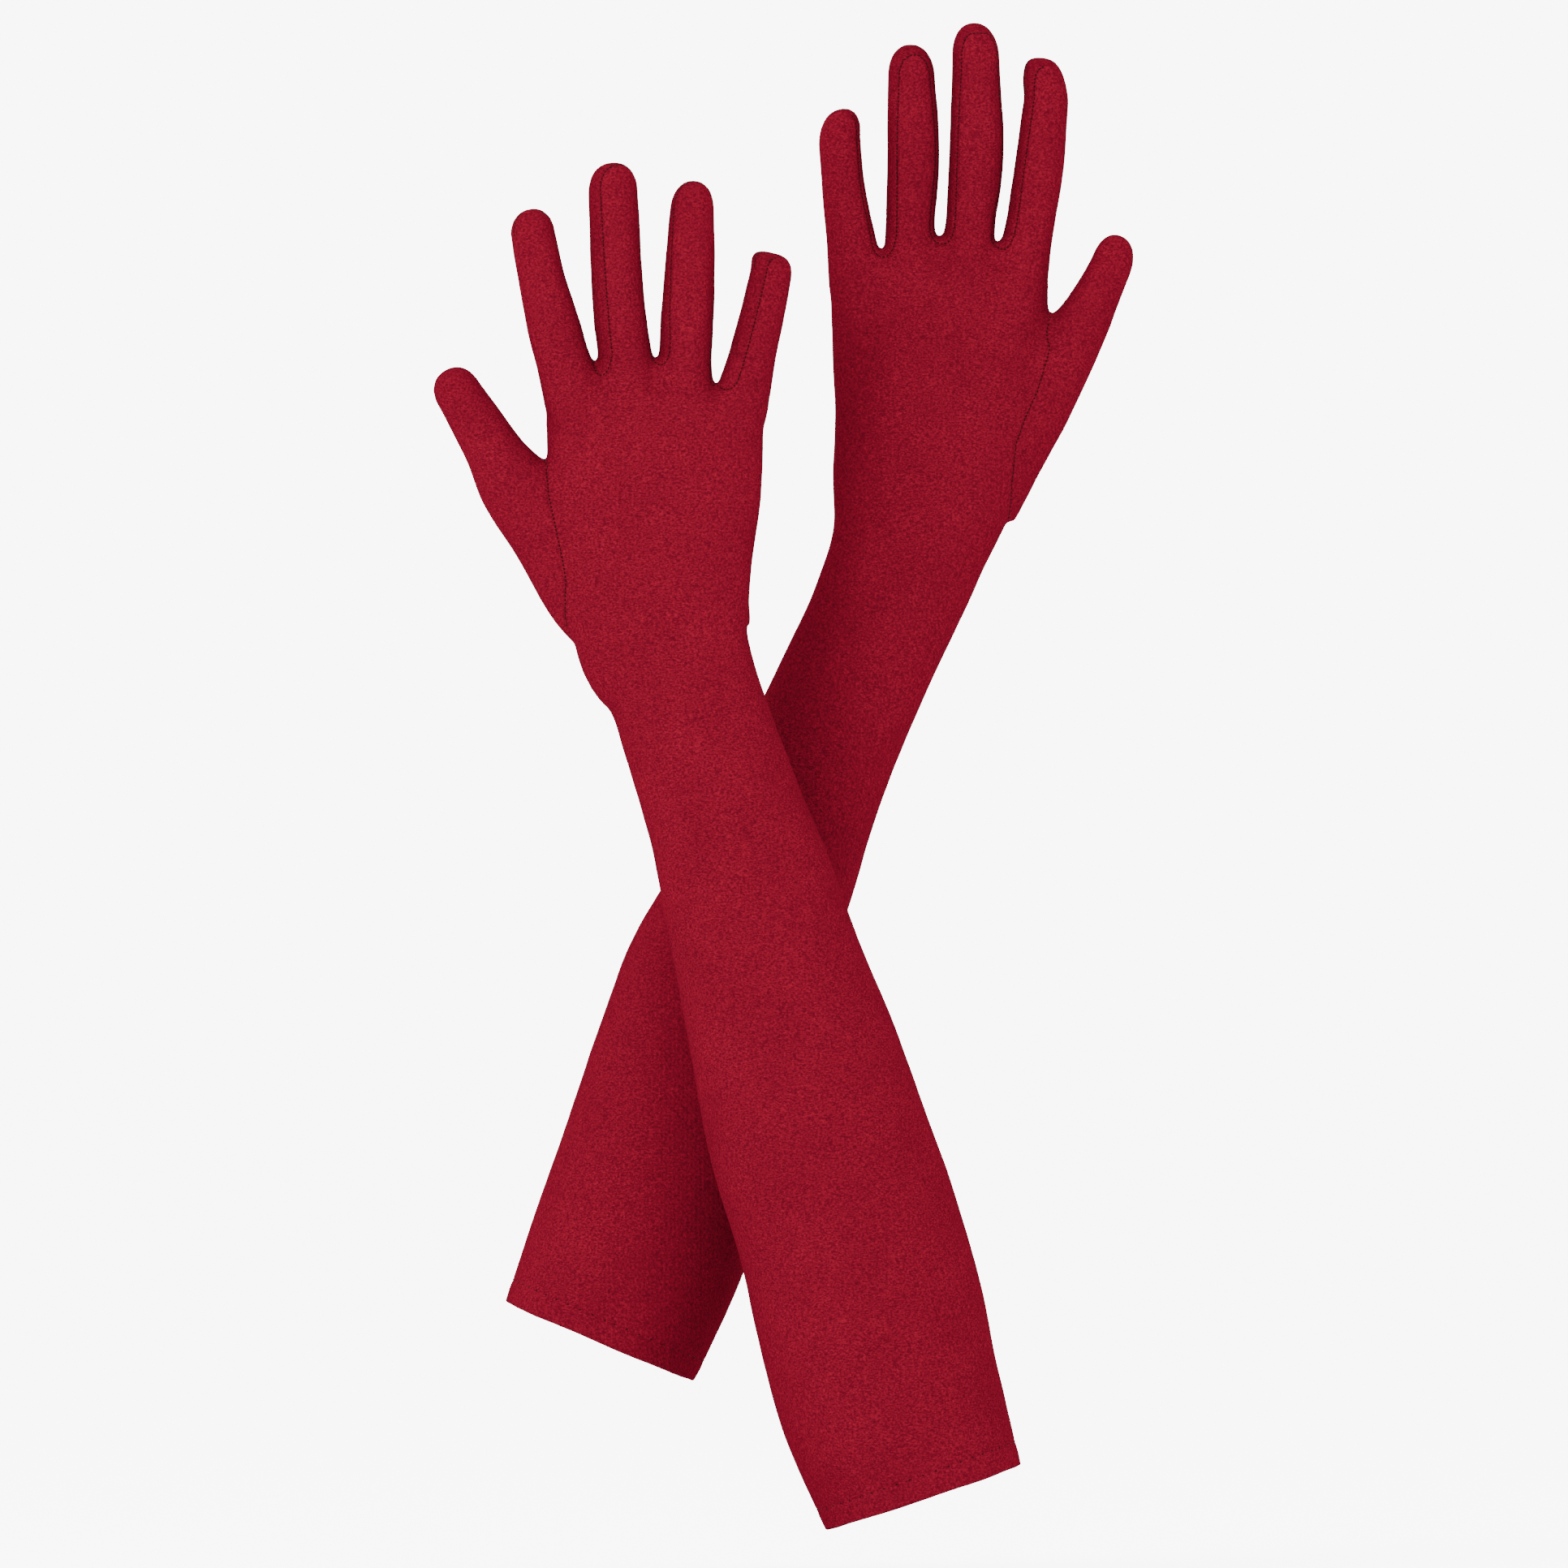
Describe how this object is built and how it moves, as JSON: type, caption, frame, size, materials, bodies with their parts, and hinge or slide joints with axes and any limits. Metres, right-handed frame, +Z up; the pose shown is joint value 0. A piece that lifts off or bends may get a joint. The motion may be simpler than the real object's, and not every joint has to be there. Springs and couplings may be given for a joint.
{
  "type": "opera gloves",
  "caption": "Long opera gloves in matt stretch satin, reaching above the elbow, with slim tapered fingers, sewn side strips, set-in thumbs and stitched hems, worn for evening dress or costume.",
  "frame": {"origin": "middle of the right glove's arm opening, at the folded hem edge", "axes": "+Z up the raised arms towards the fingertips, +X towards the left glove's thumb, +Y from the backs of the hands to the palms"},
  "size_m": [0.2645, 0.1532, 0.5715],
  "materials": {
    "satin": "crimson matt stretch satin with a fine crosswise rib and a soft sheen",
    "satin_strips": "the same crimson satin, cut along the other grain, so slightly darker",
    "thread": "dark red sewing thread"
  },
  "bodies": {
    "right_arm": {"right_hem": "satin", "right_sleeve_back": "satin", "right_sleeve_palm": "satin", "right_hem_stitching": "thread", "right_side_seam": "thread"},
    "right_palm": {"right_wrist": "satin", "right_hand": "satin", "right_thumb_root": "satin", "right_index_knuckle": "satin", "right_middle_knuckle": "satin", "right_ring_knuckle": "satin", "right_little_knuckle": "satin"},
    "right_index": {"right_index_finger": "satin", "right_index_strip_outer_side": "satin_strips"},
    "right_middle": {"right_middle_finger": "satin", "right_middle_strip_thumb_side": "satin_strips", "right_middle_strip_outer_side": "satin_strips"},
    "right_ring": {"right_ring_finger": "satin", "right_ring_strip_thumb_side": "satin_strips", "right_ring_strip_outer_side": "satin_strips"},
    "right_little": {"right_little_finger": "satin", "right_little_strip_thumb_side": "satin_strips"},
    "right_thumb": {"right_thumb": "satin"},
    "left_arm": {"left_hem": "satin", "left_sleeve_back": "satin", "left_sleeve_palm": "satin", "left_hem_stitching": "thread", "left_side_seam": "thread"},
    "left_palm": {"left_wrist": "satin", "left_hand": "satin", "left_thumb_root": "satin", "left_index_knuckle": "satin", "left_middle_knuckle": "satin", "left_ring_knuckle": "satin", "left_little_knuckle": "satin"},
    "left_index": {"left_index_finger": "satin", "left_index_strip_outer_side": "satin_strips"},
    "left_middle": {"left_middle_finger": "satin", "left_middle_strip_outer_side": "satin_strips", "left_middle_strip_thumb_side": "satin_strips"},
    "left_ring": {"left_ring_finger": "satin", "left_ring_strip_outer_side": "satin_strips", "left_ring_strip_thumb_side": "satin_strips"},
    "left_little": {"left_little_finger": "satin", "left_little_strip_thumb_side": "satin_strips"},
    "left_thumb": {"left_thumb": "satin"}
  },
  "joints": [
    {"name": "left_glove_apart", "type": "slide", "parent": "right_arm", "child": "left_arm", "axis": [0, 1, 0], "range_m": [0, 0.2]},
    {"name": "right_wrist_bend", "type": "hinge", "parent": "right_arm", "child": "right_palm", "pos_m": [-0.093, 0, 0.3095], "axis": [-0.965, 0, -0.2624], "range_deg": [-50, 60], "deforming": ["right_wrist"]},
    {"name": "right_index_bend", "type": "hinge", "parent": "right_palm", "child": "right_index", "pos_m": [-0.13733, 0, 0.43669], "axis": [-0.9761, 0, -0.2174], "range_deg": [-20, 65], "deforming": ["right_index_knuckle"]},
    {"name": "right_middle_bend", "type": "hinge", "parent": "right_palm", "child": "right_middle", "pos_m": [-0.11334, 0, 0.43697], "axis": [-0.9974, 0, -0.072], "range_deg": [-20, 65], "deforming": ["right_middle_knuckle"]},
    {"name": "right_ring_bend", "type": "hinge", "parent": "right_palm", "child": "right_ring", "pos_m": [-0.09066, 0, 0.43699], "axis": [-0.9991, 0, 0.0415], "range_deg": [-20, 65], "deforming": ["right_ring_knuckle"]},
    {"name": "right_little_bend", "type": "hinge", "parent": "right_palm", "child": "right_little", "pos_m": [-0.06447, 0, 0.43666], "axis": [-0.9742, 0, 0.2256], "range_deg": [-20, 65], "deforming": ["right_little_knuckle"]},
    {"name": "right_thumb_bend", "type": "hinge", "parent": "right_palm", "child": "right_thumb", "pos_m": [-0.1583, 0, 0.3905], "axis": [-0.8511, 0, -0.5249], "range_deg": [-15, 50], "deforming": ["right_thumb_root"]},
    {"name": "left_wrist_bend", "type": "hinge", "parent": "left_arm", "child": "left_palm", "pos_m": [-0.0215, 0.07, 0.322], "axis": [-0.9204, 0, 0.3911], "range_deg": [-50, 60], "deforming": ["left_wrist"]},
    {"name": "left_index_bend", "type": "hinge", "parent": "left_palm", "child": "left_index", "pos_m": [0.0399, 0.07, 0.48393], "axis": [-0.995, 0, 0.1003], "range_deg": [-20, 65], "deforming": ["left_index_knuckle"]},
    {"name": "left_middle_bend", "type": "hinge", "parent": "left_palm", "child": "left_middle", "pos_m": [0.01735, 0.07, 0.484], "axis": [-0.9996, 0, 0.0272], "range_deg": [-20, 65], "deforming": ["left_middle_knuckle"]},
    {"name": "left_ring_bend", "type": "hinge", "parent": "left_palm", "child": "left_ring", "pos_m": [-0.00478, 0.07, 0.484], "axis": [-1, 0, -0.0062], "range_deg": [-20, 65], "deforming": ["left_ring_knuckle"]},
    {"name": "left_little_bend", "type": "hinge", "parent": "left_palm", "child": "left_little", "pos_m": [-0.02726, 0.07, 0.48394], "axis": [-0.9953, 0, -0.097], "range_deg": [-20, 65], "deforming": ["left_little_knuckle"]},
    {"name": "left_thumb_bend", "type": "hinge", "parent": "left_palm", "child": "left_thumb", "pos_m": [0.0556, 0.07, 0.43974], "axis": [-0.8947, 0, 0.4467], "range_deg": [-15, 50], "deforming": ["left_thumb_root"]}
  ]
}
